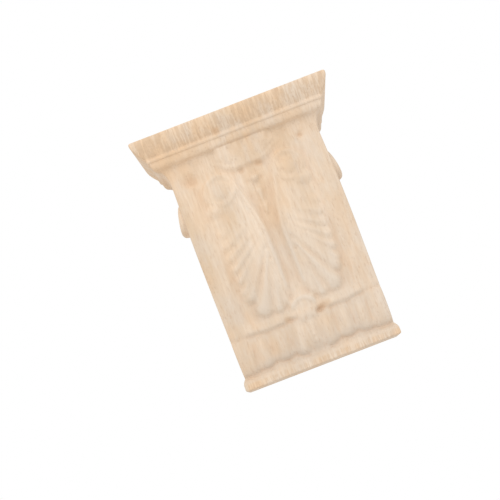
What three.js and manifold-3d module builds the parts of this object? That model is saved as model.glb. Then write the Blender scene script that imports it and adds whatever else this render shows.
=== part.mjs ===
// Carved wood bracket: a small raw-wood corbel, cut from one block. Its cap has mouldings on three
// sides. The front of the body sweeps back towards a flared foot and is carved with a shell palmette
// under two volutes, a leafy crest and a gadrooned roll. Each side has a round boss.
// Millimetres, +Z up, front towards -Y. The flat back lies in the plane y = 0, against the wall, and
// the origin is at the middle of the back.
import * as THREE from "three";
import * as BufferGeometryUtils from "three/addons/utils/BufferGeometryUtils.js";
import Module from "manifold-3d";

// Overall sizes
const HEIGHT = 126;
const CAP_WIDTH = 98.4;
const CAP_DEPTH = 45;
const BODY_WIDTH = 75;
const BODY_SWELL = 0.4; // how much further out each side face is at the middle of the body
const FOOT_FRONT_DEPTH = 19; // depth of the front face just above the foot
const EDGE_EASE = 0.6; // how much the square edges at the top and the bottom are sanded off

// Mouldings of the cap, from the top down
const CAP_EDGE_HEIGHT = 1.6;
const FASCIA_HEIGHT = 7.6;
const BEAD_HEIGHT = 2;
const BEAD_PROUD = 0.5;
const OVOLO_HEIGHT = 4;
const NECK_HEIGHT = 8.6;
const FASCIA_FOOT_OVERHANG = 6.7; // how far the fascia's lower edge stands out from the body
const OVOLO_TOP_OVERHANG = 5.9;
const BED_OVERHANG = 3;
const NECK_TOP_OVERHANG = 2.4;

// Foot and roll, from the bottom up
const FOOT_EDGE_HEIGHT = 2.8;
const FOOT_FLARE_HEIGHT = 3.4;
const FOOT_OVERHANG = 1.5;
const ROLL_HEIGHT = 18;
const ROLL_PROUD = 2.5;
const ROLL_WAVE = 1; // how far the roll's upper edge dips between the tie and the border
const FOOT_WAVE = 1.8; // how far its lower edge rises there
const GADROON_PITCH = 8.8;
const GADROON_START = 7.2; // from the centre line to the middle of the first gadroon
const GADROON_DEPTH = 1.6;
const SEAM_WIDTH = 3; // groove between the roll and what lies above it
const SEAM_DEPTH = 0.8;
const LIP_HEIGHT = 6.4; // soft lip between the panel and the roll
const LIP_PROUD = 1.2;

// Raised borders at both sides of the front, with a groove beside the carved panel
const STRIP_WIDTH = 7;
const GROOVE_WIDTH = 1.6;
const GROOVE_DEPTH = 0.6;
const PANEL_DEPTH = 1.4; // depth of the carved panel's ground below the borders
const PANEL_OPENING = 10; // height over which the ground sinks in under the cap

// Volutes, curls, stems and buds
const VOLUTE_RADIUS = 9.6;
const VOLUTE_INSET = 11.6; // from the panel's edge to the middle of the volute
const VOLUTE_HEIGHT = 1.6;
const VOLUTE_SHRINK = 1.2; // how much smaller its edge is after one turn
const VOLUTE_GROOVE_RADIUS = 5.4;
const VOLUTE_GROOVE_WIDTH = 1.9;
const VOLUTE_GROOVE_DEPTH = 0.8;
const CURL_RADIUS = 3.8;
const CURL_HEIGHT = 1.6;
const STEM_HALF_WIDTH = 1.8;
const STEM_HEIGHT = 1.6;
const CHANNEL_DEPTH = 0.8;
const BUD_HEIGHT = 1.8;
const BUD_HALF_WIDTH = 2.1;

// Shell leaf: even feathers down its outer side, then four lobes that grow towards the roll
const FEATHERS = 7;
const FEATHER_HALF_WIDTH = 2.5;
const FEATHER_HEIGHT = 0.9;
const FEATHER_GAIN = 0.24; // how much higher each feather is than the one above
const RIB_ROOT_HALF_WIDTH = 1.3;
const WEB_HEIGHT = 0.6;
const LOBE_HEIGHT = 3.2; // height of the leaf's fullest lobe
const LOBE_HALF_WIDTH = 4.6;

// Crest under the cap, with small hollows beside and below it
const CREST_HEIGHT = 4.4;
const CREST_EDGE_HEIGHT = 1;
const CREST_HALF_WIDTH = 13.2;
const CREST_DROP = 3.4; // how far it hangs below the neck
const CREST_BEVEL = 1.4;
const CREST_FLUTES = 2; // on each side of the middle one
const CREST_FLUTE_HALF_WIDTH = 1.4;
const CREST_FLUTE_DEPTH = 0.6;
const BURIED = 4; // how deep the crest's and the tie's skins run into the block where they end
const HOLLOW_RADIUS = 2;
const HOLLOW_DEPTH = 1.2;
const CORNER_HOLLOW_RADIUS = 2.6;
const CORNER_HOLLOW_DEPTH = 1.2;

// Hood, tie and flower on the centre line
const HOOD_HALF_WIDTH = 6.2;
const HOOD_HEIGHT = 2.6;
const HOOD_THICKNESS = 4.8;
const HOOD_SAG = 3.5; // how much lower its ends are than its middle
const TIE_HALF_WIDTH = 5.6;
const TIE_HEIGHT = 2.6;
const TIE_HOLLOW_RADIUS = 2.4;
const TIE_HOLLOW_DEPTH = 1.6;
const FLOWER_HALF_WIDTH = 7.4;
const FLOWER_HALF_HEIGHT = 6.6;
const FLOWER_HEIGHT = 1.7;
const PETALS = 6;
const BELL_HALF_WIDTH = 4.4;
const BELL_HEIGHT = 1.4;

// Round boss on each side
const BOSS_RADIUS = 8.4;
const BOSS_PROUD = 2.9;
const BOSS_EDGE = 2.3; // radius of its rounded edge
const BOSS_EYE_RADIUS = 2.4;
const BOSS_RING_WIDTH = 1.2;
const BOSS_RING_DEPTH = 0.8;
const BOSS_SUNK = 3; // how far its back reaches into the body
const BOSS_TILT = THREE.MathUtils.degToRad(12);
const BOSS_DROP = 38; // below the top of the cap
const BOSS_DEPTH = 18; // in front of the back

// How finely the faces are cut
const PANEL_COLUMNS = 23; // from the centre line to the panel's edge
const PANEL_ROWS = 46;
const ROLL_ROWS = 9;
const CURVE_STEPS = 4;
const BOSS_SEGMENTS = 26;

const CAP_OVERHANG = (CAP_WIDTH - BODY_WIDTH) / 2;
const NECK_DEPTH = CAP_DEPTH - CAP_OVERHANG;
const CAP_HEIGHT = CAP_EDGE_HEIGHT + FASCIA_HEIGHT + BEAD_HEIGHT + OVOLO_HEIGHT + NECK_HEIGHT;
const FOOT_TOP = HEIGHT - FOOT_EDGE_HEIGHT - FOOT_FLARE_HEIGHT; // levels are measured down from the top
const ROLL_TOP = FOOT_TOP - ROLL_HEIGHT;
const PANEL_HEIGHT = ROLL_TOP - CAP_HEIGHT;
const PANEL_HALF = BODY_WIDTH / 2 - STRIP_WIDTH - GROOVE_WIDTH;
const BED_LEVEL = CAP_HEIGHT - NECK_HEIGHT;

const clamp = THREE.MathUtils.clamp;
const lerp = THREE.MathUtils.lerp;
const smooth = (value, from, to) => THREE.MathUtils.smoothstep(value, from, to);
const level = (share) => CAP_HEIGHT + share * PANEL_HEIGHT;
const across = (share) => share * PANEL_HALF;

// A rounded swelling that is 1 in the middle and dies out where the distance reaches the reach
function dome(distance, reach, power = 0.5) {
  const share = clamp(Math.abs(distance) / reach, 0, 1);
  return (1 - share * share) ** power;
}

// A soft swelling with no hard edge
function swell(distance, reach) {
  return dome(distance, reach, 2);
}

// A bar with a round end that widens from its root to its tip, as the distance from its axis in
// shares of its own half width, and the share of its length
function bar(x, drop, root, tip, rootHalf, tipHalf) {
  const along = [tip[0] - root[0], tip[1] - root[1]];
  const length = Math.hypot(...along);
  const run = ((x - root[0]) * along[0] + (drop - root[1]) * along[1]) / length ** 2;
  const share = clamp(run, 0, 1);
  const away = Math.hypot(x - root[0] - share * along[0], drop - root[1] - share * along[1]);
  return [away / lerp(rootHalf, tipHalf, share), share];
}

// A curve through pairs of level and value, rounded between them
function through(pairs, at) {
  if (at <= pairs[0][0]) return pairs[0][1];
  for (let i = 1; i < pairs.length; i++) {
    const [from, to] = [pairs[i - 1], pairs[i]];
    if (at <= to[0]) return lerp(from[1], to[1], smooth(at, from[0], to[0]));
  }
  return pairs[pairs.length - 1][1];
}

// Mouldings: each gives pairs of level below the top and overhang from the body
function capProfile() {
  const fasciaTop = CAP_EDGE_HEIGHT;
  const fasciaFoot = fasciaTop + FASCIA_HEIGHT;
  const beadFoot = fasciaFoot + BEAD_HEIGHT;
  const profile = [[0, CAP_OVERHANG - EDGE_EASE], [EDGE_EASE, CAP_OVERHANG], [fasciaTop, CAP_OVERHANG]];
  for (let i = 1; i <= CURVE_STEPS; i++) {
    const share = i / CURVE_STEPS;
    profile.push([fasciaTop + share * FASCIA_HEIGHT, lerp(CAP_OVERHANG, FASCIA_FOOT_OVERHANG, share ** 1.5)]);
  }
  for (let i = 1; i < CURVE_STEPS; i++) {
    const turn = (Math.PI * i) / CURVE_STEPS;
    const beadLevel = fasciaFoot + (BEAD_HEIGHT * (1 - Math.cos(turn))) / 2;
    profile.push([beadLevel, FASCIA_FOOT_OVERHANG - BEAD_PROUD / 2 + BEAD_PROUD * Math.sin(turn)]);
  }
  profile.push([beadFoot, OVOLO_TOP_OVERHANG]);
  for (let i = 1; i <= CURVE_STEPS; i++) {
    const turn = ((Math.PI / 2) * i) / CURVE_STEPS;
    const fall = OVOLO_TOP_OVERHANG - BED_OVERHANG;
    profile.push([beadFoot + OVOLO_HEIGHT * Math.sin(turn), BED_OVERHANG + fall * Math.cos(turn)]);
  }
  for (let i = 1; i <= CURVE_STEPS; i++) {
    const share = i / CURVE_STEPS;
    profile.push([BED_LEVEL + share * NECK_HEIGHT, NECK_TOP_OVERHANG * (1 - share) ** 2]);
  }
  return profile;
}

function footProfile() {
  const profile = [];
  for (let i = 0; i <= CURVE_STEPS; i++) {
    const turn = ((Math.PI / 2) * i) / CURVE_STEPS;
    profile.push([FOOT_TOP + (i / CURVE_STEPS) * FOOT_FLARE_HEIGHT, FOOT_OVERHANG * Math.sin(turn)]);
  }
  profile.push([HEIGHT - EDGE_EASE, FOOT_OVERHANG], [HEIGHT, FOOT_OVERHANG - EDGE_EASE]);
  return profile;
}

// Levels of all rows, from the top down, with the overhang of each
function rows() {
  const found = capProfile();
  for (let i = 1; i <= PANEL_ROWS; i++) {
    found.push([level(i / PANEL_ROWS), 0]);
  }
  for (let i = 1; i < ROLL_ROWS; i++) {
    found.push([ROLL_TOP + (ROLL_HEIGHT * i) / ROLL_ROWS, 0]);
  }
  return [...found, ...footProfile()];
}

// The front face's depth without its carving: upright under the cap, then sweeping back to the foot
function frontDepth(drop) {
  const sweep = smooth(drop, level(0.1), FOOT_TOP + 0.15 * HEIGHT);
  const full = smooth(FOOT_TOP, level(0.1), FOOT_TOP + 0.15 * HEIGHT);
  return lerp(NECK_DEPTH, FOOT_FRONT_DEPTH, sweep / full);
}

function halfWidth(drop) {
  const share = clamp((drop - CAP_HEIGHT) / (FOOT_TOP - CAP_HEIGHT), 0, 1);
  return BODY_WIDTH / 2 + BODY_SWELL * Math.sin(Math.PI * share);
}

// One soft wave from the tie to the border, along the roll's upper and lower edges
function wave(x) {
  const span = PANEL_HALF - TIE_HALF_WIDTH;
  return Math.sin((Math.PI * clamp(x - TIE_HALF_WIDTH, 0, span)) / span);
}

// Ground of the front between the borders, which ends above the roll
function ground(x, drop) {
  const inPanel = 1 - smooth(x, PANEL_HALF - GROOVE_WIDTH, PANEL_HALF + 0.25 * GROOVE_WIDTH);
  const opening = smooth(drop, CAP_HEIGHT - 0.3 * PANEL_OPENING, CAP_HEIGHT + 0.7 * PANEL_OPENING);
  const closing = 1 - smooth(drop, ROLL_TOP - 1.4 * LIP_HEIGHT, ROLL_TOP - 0.15 * LIP_HEIGHT);
  const groove = GROOVE_DEPTH * swell(x - PANEL_HALF - GROOVE_WIDTH / 2, GROOVE_WIDTH);
  return -(PANEL_DEPTH * inPanel + groove) * opening * closing;
}

// The lip rises over the roll, and a seam parts the two
function lip(x, drop) {
  const edge = ROLL_TOP + ROLL_WAVE * wave(x);
  const rise = smooth(drop, edge - LIP_HEIGHT, edge - 0.08 * LIP_HEIGHT);
  const fall = 1 - smooth(drop, edge - 0.05 * LIP_HEIGHT, edge + 0.1 * LIP_HEIGHT);
  const side = 1 - 0.7 * smooth(x, PANEL_HALF - GROOVE_WIDTH, PANEL_HALF + GROOVE_WIDTH);
  return LIP_PROUD * rise * fall * side - SEAM_DEPTH * swell(drop - edge, SEAM_WIDTH / 2);
}

// Volute beside the crest: its edge and its groove wind inwards, around a swelling eye
const voluteCentre = [PANEL_HALF - VOLUTE_INSET, level(0.13)];
const curlCentre = [voluteCentre[0] + 0.5 * VOLUTE_RADIUS, voluteCentre[1] + 0.82 * VOLUTE_RADIUS];

function volute(x, drop) {
  const aside = x - voluteCentre[0];
  const below = drop - voluteCentre[1];
  const away = Math.hypot(aside, below);
  const turn = 0.5 + Math.atan2(below, aside) / (2 * Math.PI);
  const edge = VOLUTE_RADIUS - VOLUTE_SHRINK * turn;
  const inwards = away - VOLUTE_GROOVE_RADIUS + 0.8 * VOLUTE_SHRINK * turn;
  const groove = swell(inwards, VOLUTE_GROOVE_WIDTH) * smooth(turn, 0, 0.12);
  const rounding = smooth(edge - away, 0, 0.2 * VOLUTE_RADIUS);
  const body = VOLUTE_HEIGHT * (0.75 + 0.25 * dome(away, VOLUTE_RADIUS)) * rounding;
  const eye = 0.2 * VOLUTE_HEIGHT * dome(away, 0.5 * VOLUTE_GROOVE_RADIUS);
  return Math.max(body - VOLUTE_GROOVE_DEPTH * groove + eye, 0);
}

function curl(x, drop) {
  const away = Math.hypot(x - curlCentre[0], drop - curlCentre[1]) / CURL_RADIUS;
  return CURL_HEIGHT * (dome(away, 1) - 0.25 * swell(away - 0.55, 0.25));
}

// Two stems rise beside the middle channel and turn out into the volutes
const stemLine = [
  [level(0.08), across(0.37)],
  [level(0.15), across(0.32)],
  [level(0.26), across(0.25)],
  [level(0.37), across(0.185)],
  [level(0.48), across(0.15)],
  [level(0.78), across(0.155)],
  [level(0.88), across(0.19)],
];

function stem(x, drop) {
  const aside = x - through(stemLine, drop);
  const ends = smooth(drop, level(0.04), level(0.12)) * (1 - smooth(drop, level(0.79), level(0.87)));
  return STEM_HEIGHT * dome(aside, STEM_HALF_WIDTH, 0.8) * ends;
}

function channel(x, drop) {
  const inside = through(stemLine, drop) - STEM_HALF_WIDTH - x;
  const ends = smooth(drop, level(0.12), level(0.24)) * (1 - smooth(drop, level(0.76), level(0.85)));
  return CHANNEL_DEPTH * smooth(inside, -0.3 * STEM_HALF_WIDTH, 0.5 * STEM_HALF_WIDTH) * ends;
}

// Three buds hang one under the other in the mouth of the channel: top, foot and size of each
const budPlaces = [
  [0.13, 0.15, 1.2],
  [0.21, 0.28, 1],
  [0.305, 0.35, 0.75],
];

function buds(x, drop) {
  let height = 0;
  for (const [top, foot, size] of budPlaces) {
    const tipHalf = size * BUD_HALF_WIDTH;
    const [away] = bar(x, drop, [0, level(foot)], [0, level(top)], 0.25 * BUD_HALF_WIDTH, tipHalf);
    height = Math.max(height, size * BUD_HEIGHT * dome(away, 1));
  }
  return height;
}

// Lobes of the leaf: the place of each round tip, the level where it leaves the stem, and its shares
// of the full half width and height
const lobes = [
  [0.69, 0.785, 0.475, 0.76, 0.8],
  [0.588, 0.864, 0.49, 1, 1],
  [0.367, 0.892, 0.5, 0.67, 0.75],
  [0.228, 0.868, 0.56, 0.46, 0.5],
];

// One rib from the stem to its tip; it starts at a share of the height that it has at the tip
function rib(x, drop, tip, rootDown, tipHalf, tipHeight, rootShare) {
  const root = [through(stemLine, level(rootDown)) + STEM_HALF_WIDTH, level(rootDown)];
  const [away, share] = bar(x, drop, root, [across(tip[0]), level(tip[1])], RIB_ROOT_HALF_WIDTH, tipHalf);
  const rise = lerp(rootShare, 1, share ** 1.5);
  return tipHeight * rise * (0.4 * dome(away, 1, 0.4) + 0.6 * dome(away, 1, 0.9));
}

function web(x, drop) {
  const foot = level(0.47) + x;
  const outer = 1 - smooth(x, across(0.82), across(0.88));
  const inner = smooth(x - through(stemLine, drop), 0, 0.6 * STEM_HALF_WIDTH);
  const upper = smooth(drop, level(0.08), level(0.14));
  return WEB_HEIGHT * outer * inner * upper * (1 - smooth(drop, foot, foot + 0.05 * PANEL_HEIGHT));
}

function shell(x, drop) {
  let height = web(x, drop);
  for (let i = 0; i < FEATHERS; i++) {
    const down = i / (FEATHERS - 1);
    const tip = [0.79 - 0.03 * down ** 2, lerp(0.31, 0.75, down)];
    const tipHeight = FEATHER_HEIGHT + FEATHER_GAIN * i;
    const feather = rib(x, drop, tip, lerp(0.17, 0.47, down), FEATHER_HALF_WIDTH, tipHeight, 0.25);
    height = Math.max(height, feather);
  }
  for (const [tipAcross, tipDown, rootDown, breadth, fullness] of lobes) {
    const tipHalf = breadth * LOBE_HALF_WIDTH;
    const lobe = rib(x, drop, [tipAcross, tipDown], rootDown, tipHalf, fullness * LOBE_HEIGHT, 0.5);
    height = Math.max(height, lobe);
  }
  return height;
}

// Fluted crest that hangs from the cap over its lower mouldings, with a swept lower edge
const crestEdge = [
  [0, CAP_HEIGHT + 0.82 * CREST_DROP],
  [0.3 * CREST_HALF_WIDTH, CAP_HEIGHT + CREST_DROP],
  [0.65 * CREST_HALF_WIDTH, CAP_HEIGHT + 0.82 * CREST_DROP],
  [CREST_HALF_WIDTH, CAP_HEIGHT],
  [1.4 * CREST_HALF_WIDTH, CAP_HEIGHT - 0.82 * CREST_DROP],
];

function crest(x, drop) {
  const top = BED_LEVEL - 0.3 * OVOLO_HEIGHT;
  const edge = through(crestEdge, x);
  const lower = smooth(drop, BED_LEVEL + 0.25 * NECK_HEIGHT, BED_LEVEL + 0.6 * NECK_HEIGHT);
  let flutes = 0;
  for (let i = 0; i <= CREST_FLUTES; i++) {
    flutes += swell(x - (i * CREST_HALF_WIDTH) / CREST_FLUTES, CREST_FLUTE_HALF_WIDTH);
  }
  const body = lerp(CREST_HEIGHT, CREST_EDGE_HEIGHT, smooth(drop, top, edge));
  const sides = 1 - smooth(x, CREST_HALF_WIDTH, 1.23 * CREST_HALF_WIDTH) * (1 - 0.6 * lower);
  const ends = 1 - smooth(x, 1.4 * CREST_HALF_WIDTH, 1.8 * CREST_HALF_WIDTH);
  const shown = drop > top ? smooth(edge - drop, -0.3 * CREST_BEVEL, CREST_BEVEL) : 0;
  return lerp(-BURIED, body * sides * ends - CREST_FLUTE_DEPTH * flutes * (1 - lower), shown);
}

// Small hollows under the crest, in the panel's upper corners and beside the tie
function hollows(x, drop) {
  const underCrest = HOLLOW_DEPTH * swell(Math.hypot(x - across(0.15), drop - level(0.053)), HOLLOW_RADIUS);
  const lowerAway = Math.hypot(x - across(0.135), drop - level(0.132));
  const lower = 0.6 * HOLLOW_DEPTH * swell(lowerAway, 0.9 * HOLLOW_RADIUS);
  const cornerAway = Math.hypot(x - across(0.97), (drop - CAP_HEIGHT) / 1.8);
  const corner = CORNER_HOLLOW_DEPTH * swell(cornerAway, CORNER_HOLLOW_RADIUS);
  const tieAway = Math.hypot(x - 1.4 * TIE_HALF_WIDTH, drop - ROLL_TOP);
  return underCrest + lower + corner + TIE_HOLLOW_DEPTH * swell(tieAway, TIE_HOLLOW_RADIUS);
}

// Hood over the foot of the leaf, with a pointed leaf above it
function hood(x, drop) {
  const middle = level(0.9) + HOOD_SAG * (x / HOOD_HALF_WIDTH) ** 2;
  const side = 1 - smooth(x, 0.87 * HOOD_HALF_WIDTH, 1.1 * HOOD_HALF_WIDTH);
  const arch = HOOD_HEIGHT * dome(drop - middle, HOOD_THICKNESS / 2, 0.8) * side;
  const gable = level(0.828) + 0.9 * x;
  const leaf = 0.38 * HOOD_HEIGHT * smooth(drop, gable, gable + 0.5 * HOOD_THICKNESS);
  return Math.max(arch, drop < middle ? leaf * side : 0);
}

// Tie that runs down from under the hood over the roll
function tie(x, drop) {
  const brow = ROLL_TOP + 0.055 * ROLL_HEIGHT;
  const rise = lerp(0.45, 1, smooth(drop, ROLL_TOP - 0.28 * ROLL_HEIGHT, brow));
  const fall = 1 - smooth(drop, brow, ROLL_TOP + 0.44 * ROLL_HEIGHT);
  const side = 1 - smooth(x, 0.75 * TIE_HALF_WIDTH, TIE_HALF_WIDTH);
  const shown = smooth(drop, level(0.9), level(0.93)) * side;
  return lerp(-BURIED, TIE_HEIGHT * rise * fall * (0.6 + 0.4 * dome(x, TIE_HALF_WIDTH)), shown);
}

// Flower on the roll, with a small bell under it that reaches over the top of the foot
const flowerDrop = ROLL_TOP + 0.46 * ROLL_HEIGHT;
const bellDrop = FOOT_TOP - 0.27 * BELL_HALF_WIDTH;

function flower(x, drop) {
  const aside = x / FLOWER_HALF_WIDTH;
  const below = (drop - flowerDrop) / FLOWER_HALF_HEIGHT;
  const petal = 0.5 + 0.5 * Math.cos(PETALS * Math.atan2(aside, below));
  const away = Math.hypot(aside, below) * (1.12 - 0.12 * petal);
  const eye = 0.4 * dome(away, 0.26) - 0.3 * swell(away - 0.4, 0.15);
  const bell = dome(Math.hypot(x / BELL_HALF_WIDTH, (drop - bellDrop) / (0.7 * BELL_HALF_WIDTH)), 1);
  return Math.max(FLOWER_HEIGHT * (dome(away, 1) * (0.85 + 0.15 * petal) + eye), BELL_HEIGHT * bell);
}

// The roll bellies forward over its height and is fluted across its width
function roll(x, drop) {
  const top = ROLL_TOP + ROLL_WAVE * wave(x);
  const foot = FOOT_TOP - FOOT_WAVE * wave(x);
  const share = clamp((drop - top) / (foot - top), 0, 1);
  const fluting = 0.5 - 0.5 * Math.cos((2 * Math.PI * (x - GADROON_START)) / GADROON_PITCH);
  const fluted = 1 - smooth(x, PANEL_HALF - 0.6 * GROOVE_WIDTH, PANEL_HALF + 1.6 * GROOVE_WIDTH);
  return Math.sin(Math.PI * share) ** 0.6 * (ROLL_PROUD - GADROON_DEPTH * fluting * fluted);
}

// Everything that stands out from the front, at one point of its left or right half
function relief(side, drop) {
  const x = Math.abs(side);
  const forms = [volute, curl, stem, buds, shell, hood, flower];
  const raised = Math.max(...forms.map((form) => form(x, drop)));
  return ground(x, drop) + lip(x, drop) - channel(x, drop) - hollows(x, drop) + roll(x, drop) + raised;
}

// Columns across one half of the front, as a share of the panel and then of the border beside it
function columns() {
  const found = [];
  for (let i = 0; i <= PANEL_COLUMNS; i++) {
    found.push({ panel: i / PANEL_COLUMNS, border: 0 });
  }
  const border = GROOVE_WIDTH + STRIP_WIDTH;
  for (const step of [0.5 * GROOVE_WIDTH, GROOVE_WIDTH, border]) {
    found.push({ panel: 1, border: step / border });
  }
  return found;
}

function ring(drop, overhang) {
  const half = halfWidth(drop) + overhang;
  const place = ({ panel, border }) => lerp(panel * PANEL_HALF, half, border);
  const right = columns().map(place);
  const xs = [...right.slice(1).reverse().map((x) => -x), ...right];
  const proud = (x) => Math.max(overhang + relief(x, drop), crest(Math.abs(x), drop), tie(Math.abs(x), drop));
  const front = xs.map((x) => [x, -frontDepth(drop) - proud(x)]);
  return [[-half, 0], ...front, [half, 0]].map(([x, y]) => new THREE.Vector3(x, y, HEIGHT / 2 - drop));
}

// Triangles over a flat outline, which close the block above and below
function flatCap(outline) {
  return THREE.ShapeUtils.triangulateShape(outline.map((p) => new THREE.Vector2(p.x, p.y)), []);
}

// One closed skin over all rings, with a flat end above and below. Each small face is folded along
// its shorter diagonal, so that the ribs keep clean ridges.
function body() {
  const rings = rows().map(([drop, overhang]) => ring(drop, overhang));
  const count = rings[0].length;
  const triangles = [];
  for (let i = 1; i < rings.length; i++) {
    for (let j = 0; j < count; j++) {
      const next = (j + 1) % count;
      const [a, b, c, d] = [(i - 1) * count + j, i * count + j, i * count + next, (i - 1) * count + next];
      const falling = rings[i - 1][j].distanceTo(rings[i][next]);
      const rising = rings[i][j].distanceTo(rings[i - 1][next]);
      triangles.push(...(falling <= rising ? [a, b, c, a, c, d] : [a, b, d, b, c, d]));
    }
  }
  const last = (rings.length - 1) * count;
  for (const [a, b, c] of flatCap(rings[0])) {
    triangles.push(a, b, c);
  }
  for (const [a, b, c] of flatCap(rings[rings.length - 1])) {
    triangles.push(last + a, last + c, last + b);
  }
  const geometry = new THREE.BufferGeometry().setFromPoints(rings.flat());
  geometry.setIndex(triangles);
  return geometry;
}

// Boss: a turned disc with a ring cut around its eye, leaning so that its upper edge stands out more
function boss(side) {
  const profile = [[0, -BOSS_SUNK], [BOSS_RADIUS, -BOSS_SUNK], [BOSS_RADIUS, BOSS_PROUD - BOSS_EDGE]];
  for (let i = 1; i <= CURVE_STEPS; i++) {
    const turn = ((Math.PI / 2) * i) / CURVE_STEPS;
    const radius = BOSS_RADIUS - BOSS_EDGE * (1 - Math.cos(turn));
    profile.push([radius, BOSS_PROUD - BOSS_EDGE * (1 - Math.sin(turn))]);
  }
  profile.push([BOSS_EYE_RADIUS + BOSS_RING_WIDTH, BOSS_PROUD - BOSS_RING_DEPTH]);
  profile.push([BOSS_EYE_RADIUS, BOSS_PROUD - BOSS_RING_DEPTH]);
  profile.push([0.7 * BOSS_EYE_RADIUS, BOSS_PROUD], [0, BOSS_PROUD + 0.25 * BOSS_RING_DEPTH]);
  const geometry = new THREE.LatheGeometry(profile.map(([r, h]) => new THREE.Vector2(r, h)), BOSS_SEGMENTS);
  geometry.rotateZ(-side * (Math.PI / 2 - BOSS_TILT));
  return geometry.translate((side * BODY_WIDTH) / 2, -BOSS_DEPTH, HEIGHT / 2 - BOSS_DROP);
}

const wasm = await Module();
wasm.setup();

function toSolid(geometry) {
  const bare = geometry.clone();
  bare.deleteAttribute("normal");
  bare.deleteAttribute("uv");
  const merged = BufferGeometryUtils.mergeVertices(bare, 1e-4);
  const vertProperties = new Float32Array(merged.attributes.position.array);
  const triVerts = new Uint32Array(merged.index.array);
  return new wasm.Manifold(new wasm.Mesh({ numProp: 3, vertProperties, triVerts }));
}

function toGeometry(solid) {
  const mesh = solid.getMesh();
  const geometry = new THREE.BufferGeometry();
  geometry.setAttribute("position", new THREE.BufferAttribute(mesh.vertProperties, 3));
  geometry.setIndex(new THREE.BufferAttribute(mesh.triVerts, 1));
  geometry.computeVertexNormals();
  return geometry;
}

const rawWood = new THREE.MeshStandardMaterial({ color: 0xe3ccb2, roughness: 0.8, metalness: 0 });
const whole = toSolid(body()).add(toSolid(boss(-1))).add(toSolid(boss(1)));
const corbel = new THREE.Mesh(toGeometry(whole), rawWood);
corbel.name = "corbel";

const bracket = new THREE.Group();
bracket.add(corbel);

export default bracket;
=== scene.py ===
# %% [markdown]
# # Carved wood bracket
# A small corbel of bare, pale wood. It is cut from one block: a moulded cap, a front that sweeps back
# to a flared foot, and a carved shell palmette between two borders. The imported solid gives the
# place and the size of everything. This scene carves a finer skin over it, gives it a raw-wood
# finish, and sets up a soft studio with the camera where the picture was taken.

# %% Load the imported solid
import math

import bmesh
import bpy
import numpy as np
from mathutils import Matrix, Vector


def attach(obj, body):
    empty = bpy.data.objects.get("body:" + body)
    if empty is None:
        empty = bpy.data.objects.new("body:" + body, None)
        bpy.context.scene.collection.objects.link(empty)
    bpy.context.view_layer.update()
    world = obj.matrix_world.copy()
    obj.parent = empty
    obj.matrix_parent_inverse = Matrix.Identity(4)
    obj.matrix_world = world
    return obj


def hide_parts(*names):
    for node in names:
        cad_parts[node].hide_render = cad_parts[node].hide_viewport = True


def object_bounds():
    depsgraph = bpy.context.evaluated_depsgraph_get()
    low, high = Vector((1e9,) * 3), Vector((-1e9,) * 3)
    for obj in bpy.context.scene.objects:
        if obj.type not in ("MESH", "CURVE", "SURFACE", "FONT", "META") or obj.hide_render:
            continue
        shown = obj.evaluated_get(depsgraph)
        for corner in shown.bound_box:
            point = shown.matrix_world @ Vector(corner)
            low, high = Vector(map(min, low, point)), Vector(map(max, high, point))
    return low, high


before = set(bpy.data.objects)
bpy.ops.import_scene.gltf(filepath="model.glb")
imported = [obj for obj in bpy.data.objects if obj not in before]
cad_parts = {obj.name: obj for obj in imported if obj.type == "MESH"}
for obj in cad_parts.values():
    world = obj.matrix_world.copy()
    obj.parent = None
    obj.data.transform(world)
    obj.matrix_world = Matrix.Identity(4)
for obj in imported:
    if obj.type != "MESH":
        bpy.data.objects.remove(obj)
cad_low, cad_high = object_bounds()

# %% [markdown]
# ## Sizes
# The sizes are in millimetres, as a carver would mark them on the block. Levels are measured down
# from the top of the cap, because every moulding is set out from there. The overall ones are read
# off the solid's box, so that the carving always fits the block that it is cut from.

# %% Block
MM = 0.001
HEIGHT = (cad_high.z - cad_low.z) / MM
CAP_WIDTH = (cad_high.x - cad_low.x) / MM
CAP_DEPTH = (cad_high.y - cad_low.y) / MM
BODY_WIDTH = 75.0
BODY_SWELL = 0.4  # how much further out each side is at the middle of the body
FOOT_FRONT_DEPTH = 19.0
STRIP = 7.0  # plain border on each side of the carving
GROOVE = 1.6  # between the border and the sunk panel

# %% Heights of the mouldings
CAP_EDGE = 1.6
FASCIA = 7.6
BEAD = 2.0
OVOLO = 4.0
NECK = 8.6
ROLL = 18.0
FOOT_SLOPE = 3.4
FOOT_EDGE = 2.8

# %% Levels and widths that follow from them
CAP_OVERHANG = (CAP_WIDTH - BODY_WIDTH) / 2
BEAD_TOP = CAP_EDGE + FASCIA
OVOLO_TOP = BEAD_TOP + BEAD
BED = OVOLO_TOP + OVOLO
CAP_HEIGHT = BED + NECK
FOOT_TOP = HEIGHT - FOOT_EDGE - FOOT_SLOPE
ROLL_TOP = FOOT_TOP - ROLL
PANEL_HEIGHT = ROLL_TOP - CAP_HEIGHT
PANEL_HALF = BODY_WIDTH / 2 - STRIP - GROOVE
print("carved panel", round(2 * PANEL_HALF, 1), "by", round(PANEL_HEIGHT, 1), "mm")

# %% [markdown]
# ## A few curves to carve with
# All of the relief is one height field: how far the wood stands out at each place across and each
# level down. Height fields suit shallow carving like this, because it has no undercuts. They are
# put together from four small tools. `smooth` eases from 0 to 1, `dome` is a round back, `swell` is
# a soft ripple, and `bar` measures the distance from a tapered finger with a round tip.

# %% Carving tools
CLUB = 1.3  # above 1, a finger widens late, like a club


def smooth(value, start, end):
    share = np.clip((value - start) / (end - start), 0, 1)
    return share * share * (3 - 2 * share)


def mix(low, high, share):
    return low + (high - low) * share


def dome(distance, reach, power=0.5):
    share = np.clip(np.abs(distance) / reach, 0, 1)
    return (1 - share * share) ** power


def swell(distance, reach):
    return dome(distance, reach, 2)


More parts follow.
